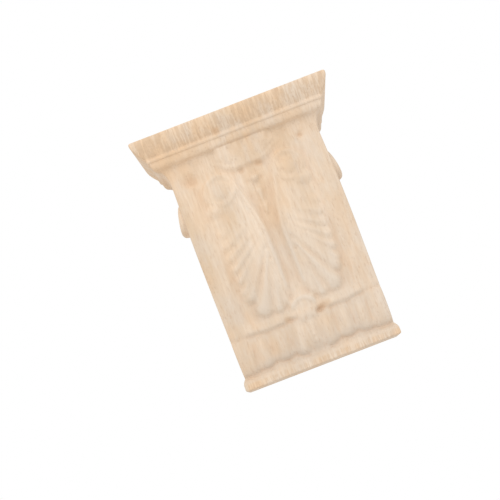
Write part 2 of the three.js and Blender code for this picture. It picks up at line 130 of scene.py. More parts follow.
def bar(x, drop, root, tip, root_half, tip_half):
    along = (tip[0] - root[0], tip[1] - root[1])
    run = ((x - root[0]) * along[0] + (drop - root[1]) * along[1]) / (along[0] ** 2 + along[1] ** 2)
    share = np.clip(run, 0, 1)
    away = np.hypot(x - root[0] - share * along[0], drop - root[1] - share * along[1])
    return away / mix(root_half, tip_half, share**CLUB), share


# %% [markdown]
# Some lines bend freely, such as the stems and the crest's lower edge. A few points fix such a line,
# and a curve runs through them that never overshoots, as a bent lath would. Places on the panel are
# given as shares of its height and half its width.

# %% Lines through a few points
def through(points, at):
    at = np.clip(at, points[0][0], points[-1][0])
    places = np.array([p[0] for p in points])
    values = np.array([p[1] for p in points])
    steps = np.diff(places)
    rises = np.diff(values) / steps
    slopes = np.zeros(len(points))
    slopes[0], slopes[-1] = rises[0], rises[-1]
    for i in range(1, len(points) - 1):
        if rises[i - 1] * rises[i] > 0:
            slopes[i] = 2 * rises[i - 1] * rises[i] / (rises[i - 1] + rises[i])
    cell = np.clip(np.searchsorted(places, at, side="right") - 1, 0, len(steps) - 1)
    width = steps[cell]
    s = (at - places[cell]) / width
    low = (1 + 2 * s) * (1 - s) ** 2 * values[cell] + s * (1 - s) ** 2 * width * slopes[cell]
    return low + s * s * (3 - 2 * s) * values[cell + 1] + s * s * (s - 1) * width * slopes[cell + 1]


def level(share):
    return CAP_HEIGHT + share * PANEL_HEIGHT


def across(share):
    return share * PANEL_HALF


# %% [markdown]
# ## Mouldings of the cap and the foot
# The cap is a stack of straight mouldings: a square edge, a sloping fascia, a thin bead, a quarter
# round and a hollow neck. They run round three sides, so one profile is enough. It says how far the
# cap stands out from the body at each level. The foot flares in the same way. Sanding has taken the
# sharpness off every edge, so the profile is read at three levels close together and averaged.

# %% Profile of the cap
FASCIA_FOOT_OUT = 6.7
FASCIA_CURVE = 1.5  # above 1, the face recedes faster further down
BEAD_PROUD = 0.5
OVOLO_TOP_OUT = 5.9
BED_OUT = 3.0
BED_STEP = 0.2
NECK_TOP_OUT = 2.4
NECK_CURVE = 2.2  # above 1, the neck is hollow


def cap_profile():
    profile = [(0.0, CAP_OVERHANG), (CAP_EDGE, CAP_OVERHANG)]
    for share in np.linspace(0, 1, 17)[1:]:
        out = mix(CAP_OVERHANG, FASCIA_FOOT_OUT, share**FASCIA_CURVE)
        profile.append((CAP_EDGE + share * FASCIA, out))
    for turn in np.linspace(0, math.pi, 11)[1:-1]:
        out = FASCIA_FOOT_OUT - BEAD_PROUD / 2 + BEAD_PROUD * math.sin(turn)
        profile.append((BEAD_TOP + BEAD * (1 - math.cos(turn)) / 2, out))
    for turn in np.linspace(0, math.pi / 2, 13):
        out = mix(BED_OUT, OVOLO_TOP_OUT, math.cos(turn))
        profile.append((OVOLO_TOP + OVOLO * math.sin(turn), out))
    for share in np.linspace(0, 1, 13):
        out = NECK_TOP_OUT * (1 - share) ** NECK_CURVE
        profile.append((BED + BED_STEP + share * (NECK - BED_STEP), out))
    return np.array(profile)


CAP_PROFILE = cap_profile()
print("profile points of the cap:", len(CAP_PROFILE))

# %% Overhang, depth and width at each level
SOFT = 0.45  # how far apart the three levels are
FOOT_OVERHANG = 1.5
SWEEP_START = 0.1  # share of the panel's height where the front starts to sweep back
SWEEP_PAST_FOOT = 0.15  # share of the whole height by which the sweep would run on below the foot


def overhang(drop):
    cap = 0
    for shift, weight in ((-SOFT, 0.25), (0, 0.5), (SOFT, 0.25)):
        cap = cap + weight * np.interp(drop + shift, CAP_PROFILE[:, 0], CAP_PROFILE[:, 1])
    foot = FOOT_OVERHANG * np.sin(math.pi / 2 * np.clip((drop - FOOT_TOP) / FOOT_SLOPE, 0, 1))
    return cap + foot


def front_depth(drop):
    start, end = level(SWEEP_START), FOOT_TOP + SWEEP_PAST_FOOT * HEIGHT
    sweep = smooth(drop, start, end) / smooth(FOOT_TOP, start, end)
    return mix(CAP_DEPTH - CAP_OVERHANG, FOOT_FRONT_DEPTH, sweep)


def half_width(drop):
    share = np.clip((drop - CAP_HEIGHT) / (FOOT_TOP - CAP_HEIGHT), 0, 1)
    return BODY_WIDTH / 2 + BODY_SWELL * np.sin(math.pi * share)


# %% [markdown]
# ## The sunk panel
# Between the two borders the ground is sunk by a millimetre and a half, with a fine groove along each
# border. At its foot the ground rises again into a soft lip, and a seam of uneven depth parts the lip
# from the roll below. Its edge waves a little, as on the real piece. `x` is the distance from the
# middle from here on, so each form is written once for both sides.

# %% Ground and lip
PANEL_DEPTH = 1.4
PANEL_OPENING = (CAP_HEIGHT - 3, CAP_HEIGHT + 7)
GROOVE_DEPTH = 0.8
GROOVE_REACH = 1.1
TIE_HALF = 5.6
LIP = 6.4
LIP_PROUD = 1.2
SEAM_DEPTH = 0.8
SEAM_REACH = 1.5


def into_border(x, before, after):
    return smooth(x, PANEL_HALF - before, PANEL_HALF + after)


def wave(x):
    span = PANEL_HALF - TIE_HALF
    return np.sin(math.pi * np.clip(x - TIE_HALF, 0, span) / span)


def ground(x, drop):
    sunk = smooth(drop, *PANEL_OPENING) * (1 - smooth(drop, ROLL_TOP - 1.4 * LIP, ROLL_TOP - 1))
    groove = GROOVE_DEPTH * swell(x - PANEL_HALF - GROOVE / 2, GROOVE_REACH)
    return -sunk * (PANEL_DEPTH * (1 - into_border(x, 1.6, 0.4)) + groove)


def lip(x, drop):
    edge = ROLL_TOP + wave(x)
    fill = smooth(drop, edge - LIP, edge - 0.5) * (1 - smooth(drop, edge - 0.3, edge + 0.5))
    seam = SEAM_DEPTH * swell(drop - edge - 0.2, SEAM_REACH)
    seam = seam * (1 - 0.4 * into_border(x, 1, 3)) * (0.85 + 0.35 * np.sin(0.5 * x + 1))
    return LIP_PROUD * fill * (1 - 0.7 * into_border(x, 1.5, 1.5)) - seam


# %% [markdown]
# ## The roll
# A fat roll lies across the whole width. It is fluted with soft gadroons, side by side. A cosine sets
# them out, and the same cosine scallops the roll's lower edge, so that it ends a little higher in the
# hollow between two gadroons.

# %% Roll
ROLL_PROUD = 2.5
GADROON_DEPTH = 1.9
GADROON_PITCH = 8.8
GADROON_START = 7.2  # from the middle of the bracket to the first crown
SCALLOP = 1.2
FOOT_WAVE = 1.2
FOOT_SEAM = 0.9


def roll(x, drop):
    top = ROLL_TOP + wave(x)
    fluting = 0.5 - 0.5 * np.cos(2 * math.pi * (x - GADROON_START) / GADROON_PITCH)
    fluted = 1 - into_border(x, 1, 2.5)
    foot = FOOT_TOP - FOOT_WAVE * wave(x) - SCALLOP * fluting**2 * fluted
    share = np.clip((drop - top) / (foot - top), 0, 1)
    body = np.sin(math.pi * share) ** 0.6 * (ROLL_PROUD - GADROON_DEPTH * fluting * fluted)
    return body - FOOT_SEAM * swell(drop - foot - 0.3, SEAM_REACH)


# %% [markdown]
# ## Volutes and curls
# A volute is a band that winds in on itself. Here its outer edge and its groove both draw closer to
# the eye as they go round once, which reads as a spiral at this size. A small curl sits under it.

# %% Volute and curl
VOLUTE_CENTRE = (PANEL_HALF - 11.6, level(0.13))
VOLUTE_RADIUS = 9.6
VOLUTE_SHRINK = 1.2  # how much smaller the radius gets in one turn
VOLUTE_HEIGHT = 1.6
VOLUTE_EYE = 2.6
SPIRAL_RADIUS = 5.4
SPIRAL_SHRINK = 0.96
SPIRAL_REACH = 1.9
SPIRAL_DEPTH = 0.7
CURL_ASIDE, CURL_BELOW = 4.8, 7.9
CURL_WIDENING = 1.2
CURL_RADIUS = 3.6
CURL_HEIGHT = 2.1


def volute(x, drop):
    aside, below = x - VOLUTE_CENTRE[0], drop - VOLUTE_CENTRE[1]
    away = np.hypot(aside, below)
    turn = 0.5 + np.arctan2(below, aside) / (2 * math.pi)
    groove = SPIRAL_DEPTH * swell(away - SPIRAL_RADIUS + SPIRAL_SHRINK * turn, SPIRAL_REACH)
    groove = groove * smooth(turn, 0, 0.12)
    body = VOLUTE_HEIGHT * (0.75 + 0.25 * dome(away, VOLUTE_RADIUS))
    body = body * smooth(VOLUTE_RADIUS - VOLUTE_SHRINK * turn - away, 0, 2)
    return np.maximum(body - groove + 0.3 * dome(away, VOLUTE_EYE), 0)


def curl(x, drop):
    aside = (x - VOLUTE_CENTRE[0] - CURL_ASIDE) / CURL_WIDENING
    away = np.hypot(aside, drop - VOLUTE_CENTRE[1] - CURL_BELOW)
    return CURL_HEIGHT * (dome(away, CURL_RADIUS) - 0.2 * swell(away - 2.1, 0.95))


# %% [markdown]
# ## Stems, channel and buds
# Two stems rise beside a shallow channel and turn out into the volutes. The stem's line is given by a
# few points, level by level, and the channel is simply cut up to its inner edge. Three buds of
# falling size hang in the channel, one below the other.

# %% Stem, channel and buds
STEM_HALF = 1.5
STEM_HEIGHT = 1.6
STEM_LINE = [
    (level(0.08), across(0.37)),
    (level(0.15), across(0.32)),
    (level(0.26), across(0.25)),
    (level(0.37), across(0.185)),
    (level(0.48), across(0.15)),
    (level(0.78), across(0.155)),
    (level(0.88), across(0.19)),
]
CHANNEL_DEPTH = 0.8
BUDS = [(0.13, 0.15, 1.2), (0.21, 0.28, 1), (0.305, 0.35, 0.75)]  # level of tip and root, size
BUD_ROOT_HALF = 0.5
BUD_HALF = 2.1
BUD_HEIGHT = 1.8


def stem(x, drop):
    ends = smooth(drop, level(0.04), level(0.12)) * (1 - smooth(drop, level(0.79), level(0.87)))
    return STEM_HEIGHT * dome(x - through(STEM_LINE, drop), STEM_HALF, 0.8) * ends


def channel(x, drop):
    edge = through(STEM_LINE, drop) - STEM_HALF
    ends = smooth(drop, level(0.12), level(0.24)) * (1 - smooth(drop, level(0.76), level(0.85)))
    return CHANNEL_DEPTH * (1 - smooth(x, edge - 0.9, edge + 0.5)) * ends


def buds(x, drop):
    height = 0
    for tip, root, size in BUDS:
        away, _ = bar(x, drop, (0, level(root)), (0, level(tip)), BUD_ROOT_HALF, size * BUD_HALF)
        height = np.maximum(height, size * BUD_HEIGHT * dome(away, 1))
    return height


# %% [markdown]
# ## The shell leaf
# Each half of the palmette is a fan of ribs that spring from the stem. The upper ones end in seven
# even scallops, set out by a loop. The lower four grow into fat lobes that stand out the most. A
# rib is a `bar` that rises and swells towards its tip, like a club. Taking the highest of them at each
# place leaves a clean valley between neighbours, just as a gouge does.

# %% One rib
ROOT_HALF = 0.9
ROOT_GAP = 0.9  # from the stem's outer edge to the middle of a root


def rib(x, drop, tip, root_down, tip_half, tip_height, root_share=0.5):
    root = (float(through(STEM_LINE, level(root_down))) + STEM_HALF + ROOT_GAP, level(root_down))
    away, share = bar(x, drop, root, (across(tip[0]), level(tip[1])), ROOT_HALF, tip_half)
    rise = root_share + (1 - root_share) * share**1.2
    return tip_height * rise * (0.4 * dome(away, 1, 0.4) + 0.6 * dome(away, 1, 0.9))


# %% Feathers and lobes
FEATHERS = 7
FEATHER_HALF = 2.5
FEATHER_HEIGHT = 0.6
FEATHER_GAIN = 0.31  # how much higher each feather is than the one above
FEATHER_ROOT_SHARE = 0.45
FIRST_TIP = (0.81, 0.31)
TIP_INSET = 0.0009  # how the tips draw in, by the square of their number
TIP_PITCH = 0.0733
FIRST_ROOT, ROOT_SPAN = 0.22, 0.27
LOBE_HEIGHT = 3.2
LOBES = [  # place of the tip across and down, level of the root, half width, share of the height
    (0.725, 0.785, 0.51, 3.5, 0.8),
    (0.6, 0.876, 0.57, 4.6, 1),
    (0.375, 0.9, 0.63, 3.1, 0.75),
    (0.24, 0.885, 0.68, 2.1, 0.55),
]


def feather(x, drop, i):
    tip = (FIRST_TIP[0] - TIP_INSET * i * i, FIRST_TIP[1] + TIP_PITCH * i)
    root_down = FIRST_ROOT + ROOT_SPAN * math.sin(math.pi / 2 * i / (FEATHERS - 1))
    height = FEATHER_HEIGHT + FEATHER_GAIN * i
    return rib(x, drop, tip, root_down, FEATHER_HALF, height, FEATHER_ROOT_SHARE)


def lobe(x, drop, tip_across, tip_down, root_down, half, fullness):
    return rib(x, drop, (tip_across, tip_down), root_down, half, LOBE_HEIGHT * fullness)


# %% The whole leaf
WEB_HEIGHT = 0.5  # thin skin that fills in between the upper feathers


def web(x, drop):
    foot = level(0.47) + x
    outer = smooth(across(0.88) - x, 0, 1.6)
    inner = smooth(x - through(STEM_LINE, drop), 0.8, 2.4)
    ends = smooth(drop, level(0.08), level(0.14)) * (1 - smooth(drop, foot, foot + 4))
    return WEB_HEIGHT * outer * inner * ends


def shell(x, drop):
    ribs = [feather(x, drop, i) for i in range(FEATHERS)]
    ribs += [lobe(x, drop, *row) for row in LOBES]
    return np.maximum.reduce([web(x, drop), *ribs])


# %% [markdown]
# ## Crest
# A crest with five short flutes, one of them in the middle, hangs from the cap over the top of the
# panel. It lies over everything else, so its skin runs into the block where it ends, and the highest
# form is what shows.

# %% Crest
CREST_HALF = 13.2
CREST_TOP = BED - 0.8
CREST_HEIGHT, CREST_EDGE_HEIGHT = 3.7, 0.4
FLUTE_DEPTH = 0.8
FLUTE_HALF = 1.5
BURIED = -4.0  # level of a skin where it runs inside the block
CREST_EDGE = [
    (0, CAP_HEIGHT + 2.8),
    (0.3 * CREST_HALF, CAP_HEIGHT + 3.4),
    (0.65 * CREST_HALF, CAP_HEIGHT + 2.8),
    (CREST_HALF, CAP_HEIGHT),
    (1.4 * CREST_HALF, CAP_HEIGHT - 2.8),
]


def crest(x, drop):
    edge = through(CREST_EDGE, x)
    flutes = sum(swell(x - i * CREST_HALF / 2, FLUTE_HALF) for i in range(3))
    cut = FLUTE_DEPTH * flutes * smooth(drop, BED, BED + 1.5) * (1 - smooth(drop, BED + 2, BED + 5))
    cut = cut + 0.5 * swell(drop - edge + 2.6, 0.9) * smooth(x, 5, 8)
    body = mix(CREST_HEIGHT, CREST_EDGE_HEIGHT, smooth(drop, CREST_TOP, edge + 1))
    sides = 1 - smooth(x, CREST_HALF - 2, CREST_HALF + 6) * (1 - 0.5 * smooth(drop, BED + 2, BED + 5))
    ends = 1 - smooth(x, 1.4 * CREST_HALF, 1.8 * CREST_HALF)
    shown = smooth(edge - drop, -0.3, 0.6) * (drop > CREST_TOP)
    return mix(BURIED, body * sides * ends - cut, shown)


# %% [markdown]
# ## Hood, tie and flower
# At the foot of the leaf a little hood covers a tie that runs down over the roll into a fat petal
# with a string of beads. The beads are one cosine along the petal's middle.

# %% Hood, tie and flower
HOOD_HEIGHT = 2.3
HOOD_REACH = 2.2
HOOD_BEND = 0.075
TIE_HEIGHT = 2.2
PETAL_HALF = 6.8
PETAL_HEIGHT = 1.3
BEAD_PITCH = 2.6
BEAD_HALF = 2.2
BEAD_HEIGHT = 0.7


def hood(x, drop):
    middle = level(0.9) + HOOD_BEND * x * x
    side = 1 - smooth(x, 5.4, 6.8)
    gable = level(0.828) + 0.9 * x
    leaf = smooth(drop, gable, gable + 2.4) * np.where(drop < middle, side, 0)
    return np.maximum(HOOD_HEIGHT * dome(drop - middle, HOOD_REACH, 0.8) * side, leaf)


def tie(x, drop):
    rise = mix(0.35, 1, smooth(drop, ROLL_TOP - 4, ROLL_TOP + 1))
    fall = 1 - smooth(drop, ROLL_TOP + 1, ROLL_TOP + 8)
    shown = smooth(drop, level(0.9), level(0.93)) * (1 - smooth(x, TIE_HALF - 1.4, TIE_HALF))
    return mix(BURIED, TIE_HEIGHT * rise * fall * (0.6 + 0.4 * dome(x, TIE_HALF)), shown)


def flower(x, drop):
    share = np.clip((drop - ROLL_TOP - 1) / (ROLL - 3.5), 0, 1)
    petal = PETAL_HEIGHT * dome(x, PETAL_HALF, 0.8) * np.sin(math.pi * share) ** 0.7
    ripple = 0.55 + 0.45 * np.cos(2 * math.pi * (drop - ROLL_TOP) / BEAD_PITCH)
    beads = BEAD_HEIGHT * ripple * dome(x, BEAD_HALF, 1)
    return petal + beads * smooth(share, 0, 0.15) * (1 - smooth(share, 0.8, 1))


# %% [markdown]
# ## Small hollows
# A carver drills or stabs small dark hollows where forms meet: under the crest, in the panel's upper
# corners and beside the tie. No two are alike on the real piece. So those that differ from side to
# side are placed by `side`, which is negative on the left.

# %% Hollows on both sides, and uneven ones
NICK_PLACE = 1.3 * TIE_HALF
NICK_REACH = 1.9
NICK_TAIL, NICK_HEAD = 3.2, 1.1  # how far it is drawn out, away from the tie and towards it


def pit(aside, below, reach, depth):
    return depth * swell(np.hypot(aside, below), reach)


def hollows(x, drop):
    under_crest = pit((x - across(0.16)) / 1.5, drop - level(0.053) - 0.2 * (x - 4), 1.6, 1)
    lower = pit(x - across(0.135), drop - level(0.132), 1.8, 0.7)
    return under_crest + lower


def nicks(side, drop):
    away = np.abs(side) - NICK_PLACE
    drawn_out = np.where(away > 0, NICK_TAIL, NICK_HEAD)
    depth = np.where(side > 0, 2.2, 1.3)
    beside_tie = pit(away / drawn_out, drop - ROLL_TOP - 0.3 + 0.3 * away, NICK_REACH, depth)
    left_corner = pit((side + 28.3) / 1.3, drop - CAP_HEIGHT - 0.6, 4.6, 1.7)
    right_corner = pit(side - 28, drop - CAP_HEIGHT + 1.8, 2.1, 1.4)
    return beside_tie + left_corner + right_corner


# %% [markdown]
# ## One field for the whole front
# The forms are laid over each other by taking the highest. What is cut away is subtracted. The real
# carving isn't quite true to its block: it sits under a millimetre right of the middle and leans by
# less than a degree. So the field is looked up at slightly shifted places instead of being redrawn.

# %% Height of the front over the body
OFF_CENTRE = 0.8
LEAN = 0.012


def from_middle(side):
    return np.abs(side - OFF_CENTRE * dome(side, PANEL_HALF, 1))


def leaned(side, drop):
    carved = smooth(drop, CAP_HEIGHT, CAP_HEIGHT + 20) * (1 - smooth(drop, ROLL_TOP, FOOT_TOP))
    return drop + LEAN * side * carved


def relief(side, drop):
    x, drop = from_middle(side), leaned(side, drop)
    forms = (volute, curl, stem, buds, shell, hood, flower)
    raised = np.maximum.reduce([form(x, drop) for form in forms])
    cut = channel(x, drop) + hollows(x, drop) + nicks(side, drop)
    return ground(x, drop) + lip(x, drop) + roll(x, drop) + raised - cut


def proud(side, drop):
    x = from_middle(side)
    return np.maximum.reduce([overhang(drop) + relief(side, drop), crest(x, drop), tie(x, drop)])


# %% [markdown]
# ## The grid
# The skin is a stack of level rings. Each ring starts at the wall, runs along one side, round the
# front and back along the other side. Rows and columns are close together where there is carving,
# about four tenths of a millimetre, and wide on the plain sides.

# %% Rows and columns
STEP = 0.4
EASE = 0.9  # how much the edges at the very top and bottom are sanded off
ROWS = [  # where a band of rows starts, and the step between them
    (0, 0.15),
    (EASE, 0.3),
    (CAP_EDGE, STEP),
    (BEAD_TOP, 0.2),
    (OVOLO_TOP, 0.3),
    (BED, 0.2),
    (BED + BED_STEP, 0.38),
    (CAP_HEIGHT, STEP),
    (ROLL_TOP, STEP),
    (FOOT_TOP, STEP),
    (FOOT_TOP + FOOT_SLOPE, STEP),
    (HEIGHT - EASE, 0.15),
]


def spread(start, end, step):
    return list(np.linspace(start, end, max(2, round(abs(end - start) / step) + 1)))


levels = []
for (start, step), end in zip(ROWS, [row[0] for row in ROWS[1:]] + [HEIGHT]):
    levels += spread(start, end, step)[:-1]
levels = np.array(levels + [HEIGHT])

panel = spread(0, PANEL_HALF, STEP)
border = spread(0, 1, STEP * 1.1 / (STRIP + GROOVE))[1:]
print("rows", len(levels), "columns over the front", 2 * (len(panel) + len(border)) - 1)

# %% [markdown]
# The columns over the panel stay where they are, and those over the borders spread out to the edge,
# wherever it is at that level. A light blur then takes the hardness off the carving, as sandpaper
# does, but leaves the straight mouldings alone.

# %% Field on the grid
CORNER = 0.9  # radius of the front's two long edges
SANDING = 5  # rounds of smoothing


def eased(drop):
    near = np.minimum(drop, HEIGHT - drop)
    return EASE - math.sqrt(max(EASE**2 - (EASE - min(near, EASE)) ** 2, 0))


def sanded(field, rounds):
    for _ in range(rounds):
        padded = np.pad(field, 1, mode="edge")
        field = (2 * field + padded[:-2, 1:-1] + padded[2:, 1:-1]) / 4
        padded = np.pad(field, 1, mode="edge")
        field = (2 * field + padded[1:-1, :-2] + padded[1:-1, 2:]) / 4
    return field


ease = np.array([eased(t) for t in levels])
half = half_width(levels) + overhang(levels) - ease
right = [panel + [mix(PANEL_HALF, h - CORNER, share) for share in border] for h in half]
columns = np.array([[-x for x in reversed(row[1:])] + row for row in right])
drops = np.repeat(levels[:, None], columns.shape[1], axis=1)
height = proud(columns, drops)
carved = smooth(drops, BED - 0.5, BED + 1.5) * (1 - smooth(drops, FOOT_TOP + 1.5, FOOT_TOP + 3))
height = mix(height, sanded(height, SANDING), carved)
fronts = front_depth(drops) + height - ease[:, None]
carving = height - overhang(drops)
print("deepest hollow", round(float(carving.min()), 2), "mm")
print("highest lobe", round(float(carving.max()), 2), "mm")

# %% [markdown]
# ## What the finish needs to know
# Where the carving lies lower than what surrounds it, less light gets in, and the finish paints that
# shade into the colour. That is measured here once, by comparing the field with a blurred copy of
# itself: 0.5 is level, more is a hollow and less is a ridge. It is kept on the mesh as one number at
# each point.

# %% Depth of the hollows
NEAR, FAR = 3, 9  # reach of the two blurs, in cells of the grid


def wide_blur(field, reach):
    width = 2 * reach + 1
    for axis in (0, 1):
        pad = [(reach, reach) if a == axis else (0, 0) for a in (0, 1)]
        for _ in range(3):
            total = np.cumsum(np.pad(field, pad, mode="edge"), axis=axis)
            total = np.insert(total, 0, 0, axis=axis)
            ahead = np.take(total, range(width, total.shape[axis]), axis=axis)
            behind = np.take(total, range(0, total.shape[axis] - width), axis=axis)
            field = (ahead - behind) / width
    return field


near_hollow = np.clip(wide_blur(carving, NEAR) - carving, -1, 1)
far_hollow = np.clip(wide_blur(carving, FAR) - carving, -2, 2)
hollow = np.clip(0.5 + 0.55 * near_hollow + 0.2 * far_hollow, 0, 1)
print("hollow value from", round(float(hollow.min()), 2), "to", round(float(hollow.max()), 2))

# %% [markdown]
# Two more numbers go with it. Painted shade darkens the roll's foot and, more thinly, the top of the
# roll under the seam above it. The spots are small brown marks: the one on the fascia is a real stain,
# where resin or a hot tool has darkened the wood, and those in the corners, under the crest and beside
# the tie are painted shade in the small carved hollows there.

# %% Painted shade at the roll, and stains and painted shade in the small hollows
ROLL_SHADE_REACH = 4.6
SEAM_SHADE, SEAM_SHADE_REACH = 0.6, 4
SPOT_WIDENING = 1.4
# The first spot is a real stain on the fascia. The others are painted shade in the small carved hollows
# in the corners, under the crest and beside the tie.
STAIN_AND_SHADE_SPOTS = [  # place across, level down, reach, strength
    (-8.4, 8.3, 2.4, 0.8),
    (-28.3, 24.5, 5, 0.35),
    (28, 22, 2.4, 0.35),
    (4.6, 27, 2.2, 0.5),
    (9.2, 100.2, 3.4, 0.6),
    (-8.6, 101.4, 2.4, 0.4),
]
# Painted shade along the roll's foot and, more thinly, under the seam at the roll's top.
foot_line = FOOT_TOP - 1.8 * wave(np.abs(columns)) - 0.6
under_seam = SEAM_SHADE * swell(drops - ROLL_TOP - 1.5, SEAM_SHADE_REACH)
roll_shade = np.maximum(swell(drops - foot_line, ROLL_SHADE_REACH), under_seam)
roll_shade *= 1 - 0.5 * smooth(np.abs(columns), 26, 34)
stain_and_hole_shade = np.zeros_like(columns)
for side, drop, reach, strength in STAIN_AND_SHADE_SPOTS:
    stain_and_hole_shade = np.maximum(stain_and_hole_shade, pit((columns - side) / SPOT_WIDENING, drops - drop, reach, strength))
print("points with dust", int((roll_shade > 0).sum()), "with a stain", int((stain_and_hole_shade > 0).sum()))

# %% [markdown]
# ## Skin
# The front edges of raw wood are never knife-sharp, so a ring turns each front corner on a small arc.
# The rings become one closed mesh: a quad between each two neighbours on two rings, and a flat cap
# above and below. Each quad stays flat enough on its own, so Blender splits them as it likes.

# %% Rings
PLAIN = {"hollow": 0.5, "roll_shade": 0.0, "stain_and_hole_shade": 0.0}
fields = {"hollow": hollow, "roll_shade": roll_shade, "stain_and_hole_shade": stain_and_hole_shade}
corner_turns = np.linspace(0, math.pi / 2, 6)[1:-1]
side_places = spread(0, 1, 0.055)


def side_run(side, edge, front):
    run = [(side * edge, share * (front - CORNER)) for share in side_places]
    for turn in corner_turns:
        out = CORNER * (1 - math.cos(turn))
        run.append((side * (edge - out), front - CORNER + CORNER * math.sin(turn)))
    return run


points = []
marks = {name: [] for name in PLAIN}
for r, drop in enumerate(levels):
    left_run = side_run(-1, half[r], fronts[r, 0])
    right_run = side_run(1, half[r], fronts[r, -1])[::-1]
    ring = left_run + list(zip(columns[r], fronts[r])) + right_run
    points += [(x * MM, -y * MM, (HEIGHT / 2 - drop) * MM) for x, y in ring]
    for name, plain in PLAIN.items():
        marks[name] += [plain] * len(left_run) + list(fields[name][r]) + [plain] * len(right_run)
print("rings", len(levels), "with", len(points) // len(levels), "points each")

# %% Faces
count = len(points) // len(levels)
last = len(points) - count
faces = []
for upper in range(0, last, count):
    for j in range(count):
        k = (j + 1) % count
        faces.append((upper + j, upper + count + j, upper + count + k, upper + k))
faces.append(tuple(reversed(range(count))))
faces.append(tuple(range(last, last + count)))
print("points", len(points), "faces", len(faces))

# %% Make the object
skin = bpy.data.meshes.new("carved_bracket")
skin.from_pydata(points, [], faces)
skin.update()


def mark(mesh, name, values):
    layer = mesh.attributes.new(name, "FLOAT", "POINT")
    layer.data.foreach_set("value", np.array(values, dtype=np.float32))


for name, values in marks.items():
    mark(skin, name, values)
bracket = bpy.data.objects.new("carved_bracket", skin)
bpy.context.scene.collection.objects.link(bracket)

# %% [markdown]
# ## Side bosses
# Each side carries one round, turned boss, a disc with a ring around its eye. It leans by 12 degrees.
# Here the lower edge stands further out, but on the real piece it is the upper one: a negative tilt
# would follow it. A turned form is a profile spun about an axis, which needs only the radius and the
# height of a few points.

# %% Profile of a boss
BOSS_RADIUS, BOSS_PROUD, BOSS_SUNK = 8.4, 2.9, 3.0
BOSS_EDGE = 0.28 * BOSS_RADIUS
BOSS_EYE, BOSS_RING = 2.4, 0.8
BOSS_HOLLOW = BOSS_EYE + 1.2  # radius where the ring's hollow is deepest


def boss_profile():
    shoulder = BOSS_RADIUS - BOSS_EDGE
    profile = [(0, -BOSS_SUNK), (BOSS_RADIUS, -BOSS_SUNK), (BOSS_RADIUS, BOSS_PROUD - BOSS_EDGE)]
    for turn in np.linspace(0, math.pi / 2, 9)[1:]:
        out = BOSS_PROUD - BOSS_EDGE * (1 - math.sin(turn))
        profile.append((shoulder + BOSS_EDGE * math.cos(turn), out))
    for radius in np.linspace(shoulder - 0.3, BOSS_HOLLOW, 8):
        sink = BOSS_RING * smooth(shoulder - radius, 0, shoulder - BOSS_HOLLOW)
        profile.append((radius, BOSS_PROUD - float(sink)))
    profile.append((BOSS_EYE, BOSS_PROUD - BOSS_RING))
    for turn in np.linspace(0, math.pi / 2, 6)[:-1]:
        rise = BOSS_PROUD - BOSS_RING + 0.15 + (BOSS_RING + 0.05) * math.sin(turn)
        profile.append((BOSS_EYE * math.cos(turn), rise))
    return profile + [(0, BOSS_PROUD + 0.2)]


# %% Turn a boss
BOSS_TILT = math.radians(12)
BOSS_DROP, BOSS_DEPTH = 38.0, 18.0
SPOKES = 72


def turned_boss(side):
    profile = boss_profile()
    spots, quads = [], []
    for radius, out in profile:
        for i in range(SPOKES):
            a = 2 * math.pi * i / SPOKES
            spots.append((side * out, radius * math.cos(a), radius * math.sin(a)))
    for i in range(len(profile) - 1):
        for j in range(SPOKES):
            k = (j + 1) % SPOKES
            quads.append((i * SPOKES + j, i * SPOKES + k, (i + 1) * SPOKES + k, (i + 1) * SPOKES + j))
    mesh = bpy.data.meshes.new("boss")
    mesh.from_pydata(spots, [], quads)
    lean = Matrix.Rotation(side * -BOSS_TILT, 4, "Y")
    centre = Vector((side * BODY_WIDTH / 2, -BOSS_DEPTH, HEIGHT / 2 - BOSS_DROP)) * MM
    mesh.transform(Matrix.Translation(centre) @ lean @ Matrix.Scale(MM, 4))
    cleaned = bmesh.new()
    cleaned.from_mesh(mesh)
    bmesh.ops.remove_doubles(cleaned, verts=cleaned.verts, dist=1e-6)
    bmesh.ops.recalc_face_normals(cleaned, faces=cleaned.faces)
    cleaned.to_mesh(mesh)
    cleaned.free()
    for name, plain in PLAIN.items():
        mark(mesh, name, [plain] * len(mesh.vertices))
    return bpy.data.objects.new("boss", mesh)


# %% [markdown]
# A Boolean union makes each boss one with the block, as both are the same piece of wood. The result
# is stored as plain mesh, so nothing is left to work out later.

# %% Join the bosses to the block
for side in (-1, 1):
    boss = turned_boss(side)
    bpy.context.scene.collection.objects.link(boss)
    union = bracket.modifiers.new("boss", "BOOLEAN")
    union.operation, union.solver, union.object = "UNION", "EXACT", boss
    bpy.context.view_layer.objects.active = bracket
    bpy.context.view_layer.update()
    evaluated = bracket.evaluated_get(bpy.context.evaluated_depsgraph_get())
    joined = bpy.data.meshes.new_from_object(evaluated)
    bracket.modifiers.clear()
    bracket.data = joined
    bpy.data.objects.remove(boss)
bracket.data.name = "carved_bracket"
bracket.data.shade_smooth()
bracket.data.set_sharp_from_angle(angle=math.radians(42))
print("triangles", sum(len(p.vertices) - 2 for p in bracket.data.polygons))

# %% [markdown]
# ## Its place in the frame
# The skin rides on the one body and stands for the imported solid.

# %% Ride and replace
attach(bracket, "root")
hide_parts("corbel")

# %% [markdown]
# ## Writing shader maths
# A finish is a network of small nodes. Written as plain expressions it stays readable: this class
# wraps one socket, and each operator adds one Math node. `Wire.node` makes any other node from its
# type, its settings and the values or links of its sockets.

